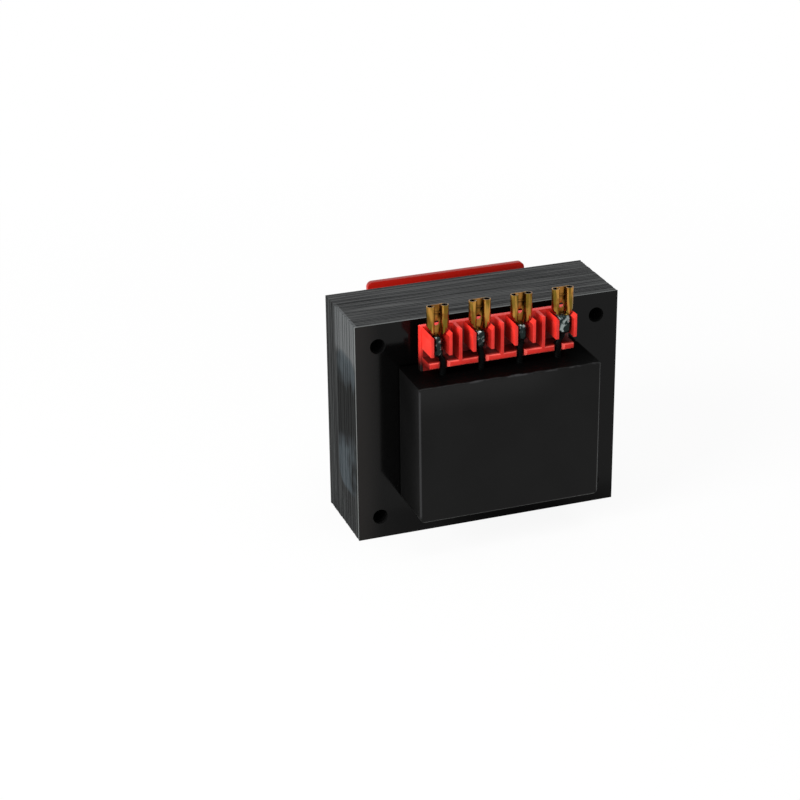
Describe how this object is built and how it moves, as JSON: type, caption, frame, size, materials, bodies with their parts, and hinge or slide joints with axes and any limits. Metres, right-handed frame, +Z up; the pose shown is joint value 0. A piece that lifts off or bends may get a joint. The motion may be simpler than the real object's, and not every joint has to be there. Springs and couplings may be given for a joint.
{
  "type": "high-voltage transformer",
  "caption": "Transformer on a laminated E-I core with corner clamping holes, cast black coil heads, and brass push-on receptacles in a red moulded terminal block.",
  "frame": {"origin": "middle of the core's underside", "axes": "+Z up, +X along the core's width, -Y towards the terminals"},
  "size_m": [0.096, 0.0736, 0.0883],
  "materials": {
    "core_steel": "gloss black varnish",
    "bobbin_plastic": "moulded red",
    "winding_wire": "enamelled copper",
    "insulating_film": "polyester film",
    "insulating_tape": "black tape",
    "casting_resin": "cast black resin",
    "terminal_brass": "stamped brass strip",
    "solder": "bright solder",
    "lead_sleeve": "black sleeving"
  },
  "bodies": {
    "root": {"e_laminations": "core_steel", "i_laminations": "core_steel", "bobbin": "bobbin_plastic", "primary_winding": "winding_wire", "winding_film": "insulating_film", "secondary_winding": "winding_wire", "outer_tape": "insulating_tape", "encapsulation": "casting_resin", "terminal_1": "terminal_brass", "terminal_2": "terminal_brass", "terminal_3": "terminal_brass", "terminal_4": "terminal_brass", "solder_joint_1": "solder", "solder_joint_2": "solder", "solder_joint_3": "solder", "solder_joint_4": "solder", "lead_wire_1": "lead_sleeve", "lead_wire_2": "lead_sleeve", "lead_wire_3": "lead_sleeve", "lead_wire_4": "lead_sleeve"}
  },
  "joints": []
}
